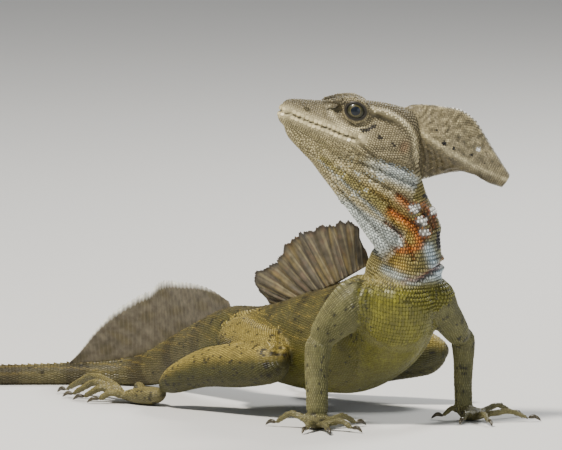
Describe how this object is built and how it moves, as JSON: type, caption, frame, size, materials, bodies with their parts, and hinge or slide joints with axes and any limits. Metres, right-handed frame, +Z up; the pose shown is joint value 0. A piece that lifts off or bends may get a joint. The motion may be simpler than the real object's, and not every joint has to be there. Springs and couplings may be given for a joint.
{
  "type": "common basilisk",
  "caption": "Life-size still model of a male brown basilisk lizard, propped up on its forelegs with its crested head turned aside.",
  "frame": {"origin": "on the floor, under the middle of the box around the whole animal", "axes": "+Z up, +X towards the animal's left at the chest, with the tail laid out towards -X, and -Y the way the chest faces"},
  "size_m": [0.5582, 0.2812, 0.1278],
  "materials": {
    "head_skin": "painted scaly skin, pale tan-grey",
    "belly_skin": "painted scaly skin, olive-yellow",
    "body_skin": "painted scaly skin, olive-brown",
    "crest": "thin painted flap, grey-brown",
    "sail": "thin painted membrane with pale rays",
    "eye": "wet gloss"
  },
  "bodies": {
    "root": {"head": "head_skin", "neck": "head_skin", "torso": "belly_skin", "tail_base": "body_skin", "tail_middle": "body_skin", "tail_whip": "body_skin", "tail_tip": "body_skin", "eye_left": "eye", "eye_right": "eye", "head_crest": "crest", "dorsal_sail": "sail", "tail_sail": "sail", "upper_arm_left": "body_skin", "forearm_left": "body_skin", "hand_left": "body_skin", "upper_arm_right": "body_skin", "forearm_right": "body_skin", "hand_right": "body_skin", "thigh_left": "body_skin", "shin_left": "body_skin", "foot_left": "body_skin", "thigh_right": "body_skin", "shin_right": "body_skin", "foot_right": "body_skin"}
  },
  "joints": []
}
